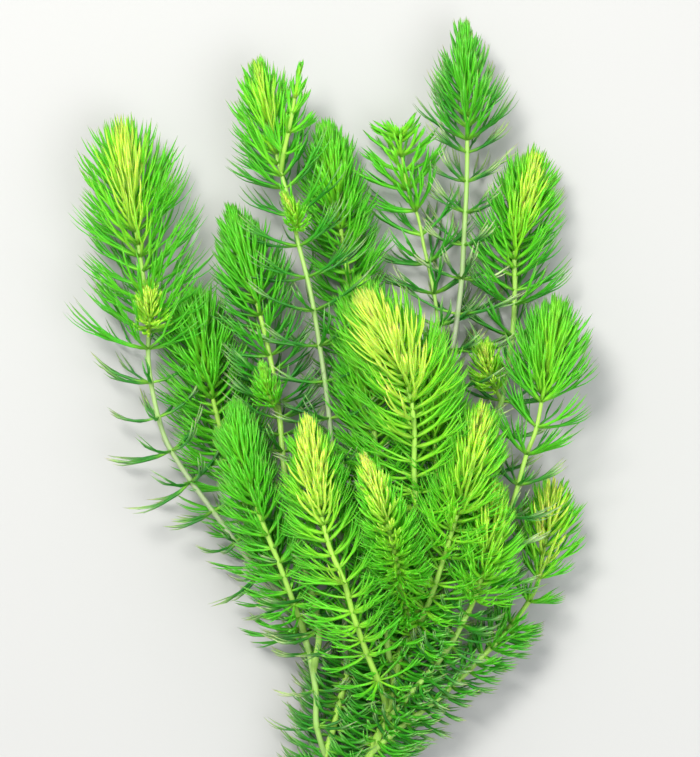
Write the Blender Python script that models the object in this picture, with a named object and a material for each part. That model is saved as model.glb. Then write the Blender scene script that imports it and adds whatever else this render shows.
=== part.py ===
"""Hornwort: one branching water plant, cut off at its foot and laid on a flat surface.

The plant lies along +Y, from the cut foot to the growing tips, and +Z points up from the surface.
Stems are parted where they fork. Each stretch is one solid, a five-sided stem with its whorls of
needle leaves fused to it. The growing tip of a shoot, where the whorls crowd together round a
thicker core, is a solid of its own. Leaves that would pass through the surface lie on it.
"""

import math
import random
from dataclasses import dataclass

import bmesh
import bpy
import numpy as np
from mathutils import Vector

MM = 0.001

# Stems
SIDES = 5
MAIN_RADIUS = 0.0016
STEM_RADIUS = 0.00115
THIN_SHARE = 0.75
SWELL = 1.6

# The core of a growing tip: its widest radius, also as a share of the tip's length, then how far
# up the tip each width comes, and how the core narrows to its end
CORE_RADIUS = 0.0024
CORE_SHARE = 0.12
CORE_MARKS = (0.0, 0.12, 0.4, 0.8, 1.0)
CORE_NARROWING = (1.0, 0.6, 0.3)

# Whorls: each is a band of triangles, and every triangle is drawn out into one leaf
BAND = 0.0024
TWIST = math.radians(18)
FIRST_WHORL = 0.0035
FOOT_CLEAR = 0.005

# How a whorl changes with its distance from the growing tip
FROM_TIP = (0.0, 0.008, 0.020, 0.040, 0.080, 0.140)
SPACING = (0.0042, 0.0055, 0.0078, 0.0106, 0.0124, 0.0134)
LEAN = (12.0, 22.0, 36.0, 50.0, 62.0, 76.0)
LENGTH_SHARE = (0.48, 0.70, 0.92, 1.0, 1.0, 0.92)

# How long leaves are on a stretch that has lost most of its leaf, as a share of their usual length
BARE_SHARE = 0.62

# Irregular growth
LEAN_SPREAD = 6.0
TURN_SPREAD = 7.0
LENGTH_SPREAD = 0.10
SEED = 7

# Clearances between separate solids
GAP = 0.0003
END_GAP = 0.0006
SHORTER = (1.0, 0.86, 0.72, 0.58, 0.44)
TURNS = (0.0, 12.0, -12.0, 24.0, -24.0)
STEM_ITSELF = -1

# Small steps for measuring along and between curves
TANGENT_STEP = 0.0005
CLEAR_STEP = 0.0001
SPECK = 1e-6
NEARLY_PARALLEL = 1e-18

SHARP_ANGLE = math.radians(40)

PALE_STEM = ("pale_stem", (0.23, 0.42, 0.10), 0.45)
GREEN_LEAVES = ("green_leaves", (0.07, 0.30, 0.035), 0.5)
GREEN_TIP = ("green_tip", (0.13, 0.45, 0.04), 0.5)
YELLOW_TIP = ("yellow_tip", (0.42, 0.68, 0.06), 0.5)


@dataclass(frozen=True)
class Shoot:
    """A stretch of stem from a fork to the next fork or to its growing tip, with points in mm.

    Between the two distances from the growing tip in bare, its leaves are short.
    """

    name: str
    parent: str
    points: tuple
    leaf: float = 0.020
    tip: float = 0.0
    finish: tuple = GREEN_LEAVES
    tip_finish: tuple = GREEN_TIP
    past_tip: float = 0.0
    radius: float = STEM_RADIUS
    from_end: bool = False
    bare: tuple = (0.0, 0.0)


SHOOTS = (
    Shoot("main_stem", "", ((0, 0, 14), (3, 12, 14), (12, 31, 15), (18, 46, 17), (22, 65, 20),
                            (27, 79, 23), (29, 86, 26)),
          leaf=0.023, finish=PALE_STEM, past_tip=0.13, radius=MAIN_RADIUS),
    Shoot("centre_shoot", "main_stem", ((29, 86, 26), (29, 100, 32), (28, 116, 39), (27, 132, 44),
                                        (27, 146, 48), (25, 160, 51), (20, 173, 52), (14, 184, 52)),
          leaf=0.026, tip=0.036, tip_finish=YELLOW_TIP, from_end=True),
    Shoot("tallest_shoot", "main_stem", ((27.5, 81, 24), (33, 93, 21), (35, 108, 20), (37, 124, 18),
                                         (39, 145, 17), (40, 166, 17), (42, 180, 17), (44, 196, 17),
                                         (45, 212, 17), (46, 233, 17), (46, 254, 18), (45, 280, 18)),
          leaf=0.025, tip=0.030, bare=(0.033, 0.084)),
    Shoot("thin_shoot", "tallest_shoot", ((39, 152, 17), (37, 173, 12), (35, 191, 12), (33, 201, 12),
                                          (31, 210, 12), (29, 220, 12), (25, 231, 13),
                                          (22, 250, 15)),
          leaf=0.017, tip=0.016, radius=STEM_RADIUS * THIN_SHARE),
    Shoot("centre_right_shoot", "tallest_shoot", ((36, 110, 20), (36, 119, 30), (35, 131, 36),
                                                  (34, 145, 37), (34, 160, 36), (34, 172, 35)),
          leaf=0.021, tip=0.020, tip_finish=YELLOW_TIP),
    Shoot("mid_right_shoot", "main_stem", ((22.5, 66, 20), (31, 82, 31), (37, 100, 40), (41, 114, 45),
                                           (45, 128, 47), (49, 147, 47)),
          leaf=0.021, tip=0.022, tip_finish=YELLOW_TIP),
    Shoot("front_shoot", "main_stem", ((26, 76.5, 22), (23, 89, 36), (21, 100, 49), (18, 112, 58),
                                       (15, 122, 62), (11, 133, 63)),
          leaf=0.016, tip=0.018, tip_finish=YELLOW_TIP),
    Shoot("back_centre_shoot", "main_stem", ((20, 59, 19), (18, 71, 25), (19, 89, 27), (17, 107, 29),
                                             (15, 128, 30), (13, 149, 31), (12, 170, 31),
                                             (10, 190, 31)),
          leaf=0.022, tip=0.026),
    Shoot("upper_right_shoot", "main_stem", ((19.5, 54, 18), (29, 73, 15), (39, 91, 13), (47, 107, 12),
                                             (52, 124, 12), (56, 142, 12), (59, 159, 13),
                                             (62, 177, 14), (63, 194, 15), (63, 208, 16),
                                             (66, 223, 17), (69, 236, 17)),
          leaf=0.023, tip=0.026, tip_finish=YELLOW_TIP),
    Shoot("right_shoot", "main_stem", ((17, 42, 16.5), (27, 54, 24), (39, 69, 29), (48, 86, 31),
                                       (54, 100, 32), (58, 112, 33), (62, 122, 33), (66, 136, 33),
                                       (70, 147, 32), (73, 165, 31), (76, 183, 29)),
          leaf=0.024, tip=0.026, bare=(0.048, 0.100)),
    Shoot("inner_right_shoot", "right_shoot", ((46, 81, 30), (50, 93, 39), (52, 104, 43),
                                               (54, 122, 45)),
          leaf=0.018, tip=0.017, tip_finish=YELLOW_TIP),
    Shoot("lower_right_shoot", "main_stem", ((12, 31, 15), (22, 40, 18), (36, 51, 19), (50, 64, 18),
                                             (62, 77, 17), (70, 89, 17), (73, 102, 17),
                                             (76, 121, 18)),
          leaf=0.019, tip=0.021, tip_finish=YELLOW_TIP, bare=(0.036, 0.200)),
    Shoot("lower_centre_shoot", "main_stem", ((18, 47, 17), (15, 57, 28), (10, 70, 37), (6, 82, 43),
                                              (3, 93, 47), (-2, 105, 49), (-5, 117, 50),
                                              (-7, 129, 50), (-9, 144, 50)),
          leaf=0.019, tip=0.027, tip_finish=YELLOW_TIP),
    Shoot("left_fork", "main_stem", ((1, 6, 14), (-3, 16, 13), (-4, 28, 13), (-1, 40, 13),
                                     (2, 52, 13), (5, 63, 13)),
          leaf=0.022, finish=PALE_STEM, past_tip=0.13),
    Shoot("top_centre_shoot", "left_fork", ((5, 63, 13), (7, 72, 13), (10, 89, 12), (11, 110, 12),
                                            (10, 131, 12), (9, 152, 12), (7, 173, 12), (5, 194, 12),
                                            (2, 214, 13), (-1, 233, 14), (-3, 247, 16)),
          leaf=0.023, tip=0.032, from_end=True),
    Shoot("top_left_shoot", "left_fork", ((4, 59, 13), (3, 72, 20), (3, 90, 26), (1, 114, 29),
                                          (-1, 135, 30), (-3, 156, 30), (-6, 177, 29),
                                          (-9, 194, 28), (-13, 210, 26), (-16, 224, 24),
                                          (-21, 242, 21), (-26, 266, 19)),
          leaf=0.026, tip=0.028, tip_finish=YELLOW_TIP),
    Shoot("outer_left_fork", "left_fork", ((-4, 30, 13), (-7, 42, 17), (-7, 52, 19), (-9, 65, 20),
                                           (-11, 74, 21), (-12, 80, 21)),
          leaf=0.022, finish=PALE_STEM, past_tip=0.13, bare=(0.138, 0.165)),
    Shoot("far_left_shoot", "outer_left_fork", ((-12, 80, 21), (-17, 86, 21), (-30, 99, 20),
                                                (-42, 115, 19), (-53, 130, 18), (-60, 142, 18),
                                                (-64, 156, 18), (-66, 170, 18), (-66, 184, 18),
                                                (-68, 201, 18), (-71, 219, 18), (-74, 243, 18)),
          leaf=0.031, tip=0.034, tip_finish=YELLOW_TIP, from_end=True, bare=(0.062, 0.300)),
    Shoot("left_shoot", "outer_left_fork", ((-10, 69, 20.5), (-15, 83, 13), (-22, 97, 10),
                                            (-28, 110, 9), (-35, 126, 9), (-40, 142, 10),
                                            (-44, 158, 11), (-47, 173, 12), (-50, 187, 13)),
          leaf=0.024, tip=0.026),
    Shoot("inner_left_shoot", "outer_left_fork", ((-8, 60, 19.5), (-6, 76, 26), (-11, 98, 29),
                                                  (-15, 114, 28), (-18, 131, 26), (-20, 152, 23),
                                                  (-23, 170, 21), (-27, 187, 19), (-31, 203, 17),
                                                  (-35, 217, 16)),
          leaf=0.023, tip=0.030),
    Shoot("mid_left_shoot", "outer_left_fork", ((-11, 74, 21), (-15, 86, 32), (-20, 100, 37),
                                                (-26, 115, 39), (-30, 128, 40), (-33, 140, 40),
                                                (-34, 150, 40)),
          leaf=0.017, tip=0.020),
    Shoot("small_left_shoot", "left_shoot", ((-19, 91, 11), (-22, 101, 18), (-25, 109, 21),
                                             (-27, 118, 22)),
          leaf=0.015, tip=0.014),
    Shoot("far_left_bud", "far_left_shoot", ((-66, 178, 18), (-65, 184, 26), (-65, 192, 31)),
          leaf=0.014, tip=0.012, tip_finish=YELLOW_TIP),
    Shoot("top_left_bud", "top_left_shoot", ((-14, 214, 26), (-14, 219, 33), (-17, 225, 37)),
          leaf=0.011, tip=0.009, tip_finish=YELLOW_TIP),
    Shoot("top_left_twin_bud", "top_left_shoot", ((-19.3, 236, 22), (-18, 243, 28), (-15.5, 254, 31),
                                                  (-13, 269, 30)),
          leaf=0.015, tip=0.028, tip_finish=YELLOW_TIP),
    Shoot("upper_right_bud", "upper_right_shoot", ((58, 156, 13), (54, 164, 20), (52, 173, 25)),
          leaf=0.014, tip=0.012, tip_finish=YELLOW_TIP),
    Shoot("mid_left_bud", "inner_left_shoot", ((-20, 150, 23), (-23, 157, 31), (-25, 165, 35)),
          leaf=0.013, tip=0.010, tip_finish=YELLOW_TIP),
)


class Route:
    """A smooth curve through a shoot's points, measured along its length in metres."""

    SAMPLES = 10

    def __init__(self, points):
        """Pass a curve through these points, in millimetres."""
        knots = np.array(points, float) * MM
        knots = np.vstack([2 * knots[0] - knots[1], knots, 2 * knots[-1] - knots[-2]])
        shares = np.linspace(0, 1, self.SAMPLES, endpoint=False)[:, None]
        spans = []
        for a, b, c, d in zip(knots, knots[1:], knots[2:], knots[3:]):
            spans.append(0.5 * (2 * b + (c - a) * shares + (2 * a - 5 * b + 4 * c - d) * shares**2
                                + (3 * b - a - 3 * c + d) * shares**3))
        self.line = np.vstack(spans + [knots[-2:-1]])
        steps = np.linalg.norm(np.diff(self.line, axis=0), axis=1)
        self.marks = np.concatenate([[0.0], np.cumsum(steps)])
        self.length = self.marks[-1]
        self.sides = self._carried_sides()

    def _carried_sides(self):
        """A side direction at each sample, carried along the curve with no twist."""
        side = np.array((0.0, 0.0, 1.0))
        sides = []
        for axis in np.gradient(self.line, axis=0):
            axis = axis / np.linalg.norm(axis)
            side = side - axis * side.dot(axis)
            side = side / np.linalg.norm(side)
            sides.append(side)
        return np.array(sides)

    def _read(self, rows, distance):
        """The value of a row of samples at a distance from the start."""
        return np.array([np.interp(distance, self.marks, rows[:, i]) for i in range(3)])

    def point(self, distance):
        """The place at a distance from the start."""
        return self._read(self.line, distance)

    def frame(self, distance):
        """The curve's direction and two directions square to it, at a distance from its start."""
        before, after = distance - TANGENT_STEP, distance + TANGENT_STEP
        axis = self._read(self.line, after) - self._read(self.line, before)
        axis = axis / np.linalg.norm(axis)
        side = self._read(self.sides, distance)
        side = side - axis * side.dot(axis)
        side = side / np.linalg.norm(side)
        return axis, side, np.cross(axis, side)

    def ring(self, distance, radius, turn):
        """The corners of a cross-section."""
        _, side, other = self.frame(distance)
        angles = turn + np.arange(SIDES) * math.tau / SIDES
        centre = self.point(distance)
        return [centre + radius * (side * math.cos(a) + other * math.sin(a)) for a in angles]


class Thicket:
    """The stems and leaves placed so far, as tapering rods, for keeping separate solids apart."""

    def __init__(self):
        """Begin with nothing placed."""
        self.starts = np.empty((0, 3))
        self.ends = np.empty((0, 3))
        self.thick = np.empty((0, 2))
        self.owners = np.empty((0, 3), int)

    def add(self, starts, ends, thick, owner):
        """Place rods with this root and end thickness, owned by a (shoot, stretch, whorl)."""
        starts = np.atleast_2d(starts)
        self.starts = np.vstack([self.starts, starts])
        self.ends = np.vstack([self.ends, np.atleast_2d(ends)])
        self.thick = np.vstack([self.thick, np.tile(thick, (len(starts), 1))])
        self.owners = np.vstack([self.owners, np.tile(owner, (len(starts), 1))])

    def foreign(self, owner):
        """Which rods a leaf has to clear: all but its own whorl's and its own shoot's stem."""
        shoot, stretch, whorl = self.owners.T
        own_stem = (whorl == STEM_ITSELF) & (shoot == owner[0])
        own_whorl = (stretch == owner[1]) & (whorl == owner[2])
        return ~(own_stem | own_whorl)

    def clearance(self, start, end, thick, others):
        """The least gap between one rod and the chosen rods already placed."""
        if not others.any():
            return math.inf
        first, second = self.starts[others], self.ends[others]
        own, along = end - start, second - first
        between = start - first
        a = own.dot(own)
        b = along @ own
        c = between @ own
        e = np.einsum("ij,ij->i", along, along)
        f = np.einsum("ij,ij->i", along, between)
        spread = a * e - b * b
        s = (b * f - c * e) / np.maximum(spread, NEARLY_PARALLEL)
        s = np.clip(np.where(spread > NEARLY_PARALLEL, s, 0), 0, 1)
        t = np.clip((b * s + f) / e, 0, 1)
        s = np.clip((b * t - c) / a, 0, 1)
        apart = np.linalg.norm(between + own * s[:, None] - along * t[:, None], axis=1)
        radii = self.thick[others]
        reach = thick[0] + (thick[1] - thick[0]) * s
        return (apart - reach - radii[:, 0] - (radii[:, 1] - radii[:, 0]) * t).min()


def by_distance(from_tip, values):
    """One of the laws of growth, read at a distance from the growing tip."""
    return float(np.interp(from_tip, FROM_TIP, values))


def stations(lowest, highest, length, past_tip):
    """Distances of the whorls along a stem, from the top one down, between two limits."""
    found = []
    at = length - (0.0 if past_tip else FIRST_WHORL)
    while at > lowest:
        if at <= highest:
            found.append(at)
        at -= by_distance(length - at + past_tip, SPACING)
    return found[::-1]


class Stretch:
    """One solid: a tapering stem between two distances on a route, with its whorls of leaves."""

    def __init__(self, shoot, route, lowest, highest, number):
        """Take the stretch between two distances, and settle where its whorls grow."""
        self.shoot, self.route, self.number = shoot, route, number
        self.lowest, self.highest = lowest, highest
        self.is_tip = bool(shoot.tip) and highest >= route.length
        self.core = min(CORE_RADIUS, CORE_SHARE * (highest - lowest))
        margin = BAND if self.is_tip else FOOT_CLEAR
        top = highest if self.is_tip else highest - BAND
        self.whorls = stations(lowest + margin, top, route.length, shoot.past_tip)
        self.name = shoot.name
        if self.is_tip and not shoot.name.endswith("bud"):
            self.name = shoot.name.replace("shoot", "tip")
        self.leaves = {}

    def radius(self, distance):
        """The stem's radius at a distance along the route."""
        base = self.shoot.radius
        if not self.is_tip:
            return base
        share = (distance - self.lowest) / (self.highest - self.lowest)
        widths = (base, base, *(self.core * narrowing for narrowing in CORE_NARROWING))
        return float(np.interp(share, CORE_MARKS, widths))

    def bands(self):
        """Each whorl's lower and upper ring, a band of triangles apart."""
        for index, at in enumerate(self.whorls):
            turn = index * (TWIST + math.pi / SIDES)
            swell = self.radius(at) * (1 if self.is_tip else SWELL)
            low = self.route.ring(at - BAND / 2, swell, turn)
            high = self.route.ring(at + BAND / 2, swell, turn + math.pi / SIDES)
            yield index, at, low, high

    def corners(self):
        """The three corners of every leaf's root, in order round each whorl."""
        for index, at, low, high in self.bands():
            for i in range(SIDES):
                after = (i + 1) % SIDES
                yield index, 2 * i, at, (low[i], low[after], high[i])
                yield index, 2 * i + 1, at, (high[i], low[after], high[after])

    def grow_leaves(self, thicket, chance):
        """Choose a tip for every leaf, clear of all other solids and of the surface."""
        for whorl, place, at, root in self.corners():
            centre = np.mean(root, axis=0)
            thick = (np.linalg.norm(root - centre, axis=1).mean(), 0)
            axis, side, other = self.route.frame(at)
            out = centre - self.route.point(at)
            angle = math.atan2(out.dot(other), out.dot(side))
            from_tip = self.route.length - at + self.shoot.past_tip
            lean = by_distance(from_tip, LEAN) + chance.uniform(-1, 1) * LEAN_SPREAD
            lean = math.radians(lean)
            angle += math.radians(chance.uniform(-1, 1) * TURN_SPREAD)
            length = self.shoot.leaf * by_distance(from_tip, LENGTH_SHARE)
            if self.shoot.bare[0] < from_tip < self.shoot.bare[1]:
                length *= BARE_SHARE
            length *= 1 + chance.uniform(-1, 1) * LENGTH_SPREAD
            owner = (SHOOTS.index(self.shoot), self.number, whorl)
            others = thicket.foreign(owner)
            for share in SHORTER:
                tip = self._clear_tip(thicket, others, (centre, thick), (axis, side, other),
                                      (angle, lean, length * share))
                if tip is not None:
                    self.leaves[whorl, place] = tip
                    thicket.add(centre, tip, thick, owner)
                    break

    def _clear_tip(self, thicket, others, root, frame, wanted):
        """A tip near the wanted one whose leaf clears the chosen rods, or None."""
        centre, thick = root
        axis, side, other = frame
        angle, lean, length = wanted
        for turn in TURNS:
            turned = angle + math.radians(turn)
            across = side * math.cos(turned) + other * math.sin(turned)
            way = axis * math.cos(lean) + across * math.sin(lean)
            tip = rest_on_surface(centre, centre + way * length, length)
            if thicket.clearance(centre, tip, thick, others) > GAP:
                return tip
        return None

    def mesh(self, origin):
        """The closed mesh of the stretch, in its own space round its origin."""
        bm = bmesh.new()

        def add_ring(points):
            return [bm.verts.new(Vector(point - origin)) for point in points]

        foot = add_ring(self.route.ring(self.lowest, self.radius(self.lowest), 0))
        bm.faces.new(foot[::-1])
        below = foot
        for index, _, low, high in self.bands():
            lower, upper = add_ring(low), add_ring(high)
            for i in range(SIDES):
                after = (i + 1) % SIDES
                bm.faces.new((below[i], below[after], lower[after], lower[i]))
                roots = (bm.faces.new((lower[i], lower[after], upper[i])),
                         bm.faces.new((upper[i], lower[after], upper[after])))
                for k, root in enumerate(roots):
                    tip = self.leaves.get((index, 2 * i + k))
                    if tip is not None:
                        drawn = bmesh.ops.poke(bm, faces=[root])["verts"][0]
                        drawn.co = Vector(tip - origin)
            below = upper
        if self.is_tip:
            cap = bm.faces.new(below)
            bud = bmesh.ops.poke(bm, faces=[cap])["verts"][0]
            bud.co = Vector(self.route.point(self.highest) - origin)
        else:
            turn = len(self.whorls) * math.pi / SIDES + (len(self.whorls) - 1) * TWIST
            top = add_ring(self.route.ring(self.highest, self.radius(self.highest), turn))
            for i in range(SIDES):
                after = (i + 1) % SIDES
                bm.faces.new((below[i], below[after], top[after], top[i]))
            bm.faces.new(top)
        mesh = bpy.data.meshes.new(self.name)
        bm.to_mesh(mesh)
        bm.free()
        return mesh


def rest_on_surface(root, tip, length):
    """The tip itself, or where the leaf meets the surface if it would pass through it."""
    if tip[2] >= 0:
        return tip
    flat = (tip - root)[:2]
    flat = flat / max(np.linalg.norm(flat), SPECK)
    reach = math.sqrt(max(length**2 - root[2] ** 2, 0))
    return np.array((*(root[:2] + flat * reach), 0.0))


def material(finish):
    """The Principled material of a finish, made once."""
    name, colour, roughness = finish
    made = bpy.data.materials.get(name)
    if made is None:
        made = bpy.data.materials.new(name)
        made.use_nodes = True
        shader = made.node_tree.nodes["Principled BSDF"]
        shader.inputs["Base Color"].default_value = (*colour, 1)
        shader.inputs["Roughness"].default_value = roughness
        shader.inputs["Metallic"].default_value = 0
    return made


def fork_start(route, shoot, thicket):
    """How far along its route a shoot starts so that it stands clear of the stems already placed."""
    if not shoot.parent:
        return 0.0
    if shoot.from_end:
        return END_GAP
    everything = np.ones(len(thicket.starts), bool)
    distance = 0.0
    clear = False
    while not clear:
        distance += CLEAR_STEP
        ring = route.ring(distance, shoot.radius, 0)
        clear = all(thicket.clearance(corner, corner + SPECK, (0, 0), everything) > GAP
                    for corner in ring)
    return distance


def lay_out():
    """Every stretch of the plant, parted at the forks and below the growing tips."""
    thicket = Thicket()
    stretches = []
    for shoot in SHOOTS:
        route = Route(shoot.points)
        start = fork_start(route, shoot, thicket)
        split = route.length - shoot.tip
        parts = []
        if not shoot.tip or split - start > 2 * FOOT_CLEAR:
            parts.append((start, split - (GAP if shoot.tip else 0)))
            start = split
        if shoot.tip:
            parts.append((start, route.length))
        for lowest, highest in parts:
            made = Stretch(shoot, route, lowest, highest, len(stretches))
            stretches.append(made)
            inside = (route.marks > lowest) & (route.marks < highest)
            line = np.vstack([route.point(lowest), route.line[inside], route.point(highest)])
            thick = made.core if made.is_tip else shoot.radius * SWELL
            thicket.add(line[:-1], line[1:], (thick, thick),
                        (SHOOTS.index(shoot), made.number, STEM_ITSELF))
    return stretches, thicket


def build():
    """Make the whole plant, centred over the origin and standing on the surface z = 0."""
    for obj in list(bpy.data.objects):
        bpy.data.objects.remove(obj, do_unlink=True)
    stretches, thicket = lay_out()
    chance = random.Random(SEED)
    for stretch in stretches:
        stretch.grow_leaves(thicket, chance)
    plant = bpy.data.objects.new("hornwort", None)
    bpy.context.scene.collection.objects.link(plant)
    low, high = np.full(3, math.inf), np.full(3, -math.inf)
    for stretch in stretches:
        origin = stretch.route.point(stretch.lowest)
        mesh = stretch.mesh(origin)
        finish = stretch.shoot.tip_finish if stretch.is_tip else stretch.shoot.finish
        mesh.materials.append(material(finish))
        mesh.shade_smooth()
        mesh.set_sharp_from_angle(angle=SHARP_ANGLE)
        piece = bpy.data.objects.new(stretch.name, mesh)
        piece.location = Vector(origin)
        piece.parent = plant
        bpy.context.scene.collection.objects.link(piece)
        corners = np.array([vertex.co for vertex in mesh.vertices]) + origin
        low, high = np.minimum(low, corners.min(axis=0)), np.maximum(high, corners.max(axis=0))
    middle = (low + high) / 2
    plant.location = Vector((-middle[0], -middle[1], -low[2]))


build()
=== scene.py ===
"""Hornwort laid flat: smooth forking stalks with whorls of forked needle leaves.

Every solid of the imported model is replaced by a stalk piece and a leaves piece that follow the
same routes and the same laws of growth. Lengths are metres unless a name or comment says mm.
"""

import logging
import math
from collections.abc import Iterator, Mapping, Sequence
from dataclasses import dataclass, field
from enum import Enum

import bmesh
import bpy
import numpy as np
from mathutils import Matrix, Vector

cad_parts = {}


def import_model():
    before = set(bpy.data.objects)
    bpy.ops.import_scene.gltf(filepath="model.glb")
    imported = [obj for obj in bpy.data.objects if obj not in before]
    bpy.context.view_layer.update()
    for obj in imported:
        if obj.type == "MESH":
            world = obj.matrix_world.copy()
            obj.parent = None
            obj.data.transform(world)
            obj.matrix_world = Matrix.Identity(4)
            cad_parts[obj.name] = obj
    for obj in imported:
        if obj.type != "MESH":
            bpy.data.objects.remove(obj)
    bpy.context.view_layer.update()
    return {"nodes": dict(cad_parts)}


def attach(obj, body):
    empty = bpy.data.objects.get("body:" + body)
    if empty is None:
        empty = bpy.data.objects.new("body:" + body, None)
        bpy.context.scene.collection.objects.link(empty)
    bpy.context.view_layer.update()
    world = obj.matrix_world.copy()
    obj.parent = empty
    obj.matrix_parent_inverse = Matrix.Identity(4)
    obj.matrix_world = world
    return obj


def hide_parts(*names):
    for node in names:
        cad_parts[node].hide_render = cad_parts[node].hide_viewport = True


LOG = logging.getLogger("hornwort")
MM = 0.001

# The photograph's frame: its size in pixels, what a pixel covers, and the pixel under the foot
FRAME_PIXELS = (700, 757)
PIXEL = 0.35 * MM
FOOT_PIXEL = (336, 845)

Colour = tuple[float, float, float]
Point = tuple[float, float, float]


# Shader maths


@dataclass(frozen=True)
class Value:
    """A number that varies over a surface, with arithmetic that adds Math nodes."""

    graph: "Graph"
    socket: bpy.types.NodeSocket

    def _maths(self, operation: str, other: "Value | float") -> "Value":
        """The result of a Math node on this value and another."""
        return self.graph.value("ShaderNodeMath", {0: self, 1: other}, operation=operation)

    def __add__(self, other: "Value | float") -> "Value":
        """This plus other."""
        return self._maths("ADD", other)

    __radd__ = __add__

    def __mul__(self, other: "Value | float") -> "Value":
        """This times other."""
        return self._maths("MULTIPLY", other)

    __rmul__ = __mul__

    def __sub__(self, other: "Value | float") -> "Value":
        """This less other."""
        return self._maths("SUBTRACT", other)

    def __rsub__(self, other: float) -> "Value":
        """Other less this."""
        return self * -1.0 + other

    def between(self, low: float, high: float) -> "Value":
        """A smooth rise from 0 where this is low to 1 where it is high."""
        inputs = {0: self, 1: low, 2: high, 3: 0.0, 4: 1.0}
        return self.graph.value("ShaderNodeMapRange", inputs, interpolation_type="SMOOTHSTEP")


class Graph:
    """The node tree of one material, from its inputs to its Principled shader."""

    SHEEN = 0.28
    GLOW_DEPTH = 1.4 * MM
    GLOW_COLOUR = (0.5, 1.0, 0.15)
    NOISE_ROUGHNESS = 0.55

    def __init__(self, name: str) -> None:
        """Start a material of this name with a Principled shader."""
        self.material = bpy.data.materials.new(name)
        self.material.use_nodes = True
        self.tree = self.material.node_tree
        self.shader = self.tree.nodes["Principled BSDF"]

    def node(self, kind: str, inputs: Mapping[int | str, object],
             stops: Sequence[tuple[float, Colour]] = (), **settings: object) -> bpy.types.Node:
        """Add a node.

        Args:
            kind: The node's type.
            inputs: A value, a socket or a constant for each input, by name or index.
            stops: The stops of a ramp, as places and colours.
            settings: The node's other settings.

        Returns:
            The new node.
        """
        made = self.tree.nodes.new(kind)
        for name, setting in settings.items():
            setattr(made, name, setting)
        while stops and len(made.color_ramp.elements) < len(stops):
            made.color_ramp.elements.new(1.0)
        for index, (place, colour) in enumerate(stops):
            made.color_ramp.elements[index].position = place
            made.color_ramp.elements[index].color = (*colour, 1.0)
        for name, given in inputs.items():
            self.feed(made.inputs[name], given)
        return made

    def feed(self, socket: bpy.types.NodeSocket, given: object) -> None:
        """Link a value or a socket to an input, or set the input to a constant."""
        source = given.socket if isinstance(given, Value) else given
        if isinstance(source, bpy.types.NodeSocket):
            self.tree.links.new(source, socket)
        else:
            socket.default_value = source

    def value(self, kind: str, inputs: Mapping[int | str, object], **settings: object) -> Value:
        """The first output of a new node, as a number."""
        return Value(self, self.node(kind, inputs, **settings).outputs[0])

    def attribute(self, name: str) -> Value:
        """A number that the mesh holds at each vertex."""
        return Value(self, self.node("ShaderNodeAttribute", {}, attribute_name=name).outputs["Fac"])

    def noise(self, place: bpy.types.NodeSocket, scale: float, detail: float = 2.0) -> Value:
        """Soft noise between 0 and 1 at a place."""
        inputs = {"Vector": place, "Scale": scale, "Detail": detail,
                  "Roughness": self.NOISE_ROUGHNESS}
        return self.value("ShaderNodeTexNoise", inputs)

    def mix(self, share: Value, first: object, second: object) -> bpy.types.NodeSocket:
        """A colour that goes from the first to the second as share goes from 0 to 1."""
        inputs = {0: share, 6: first, 7: second}
        return self.node("ShaderNodeMix", inputs, data_type="RGBA", clamp_factor=True).outputs[2]

    def bump(self, height: Value, strength: float, depth: float) -> None:
        """Raise and sink the surface by a height between 0 and 1."""
        inputs = {"Strength": strength, "Distance": depth, "Height": height}
        self.feed(self.shader.inputs["Normal"], self.node("ShaderNodeBump", inputs).outputs[0])

    def glow(self, share: float) -> None:
        """Let a share of the light pass a little way through living tissue, which is moist."""
        self.feed(self.shader.inputs["Specular IOR Level"], self.SHEEN)
        self.feed(self.shader.inputs["Subsurface Weight"], share)
        self.feed(self.shader.inputs["Subsurface Radius"], self.GLOW_COLOUR)
        self.feed(self.shader.inputs["Subsurface Scale"], self.GLOW_DEPTH)


# Finishes


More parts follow.
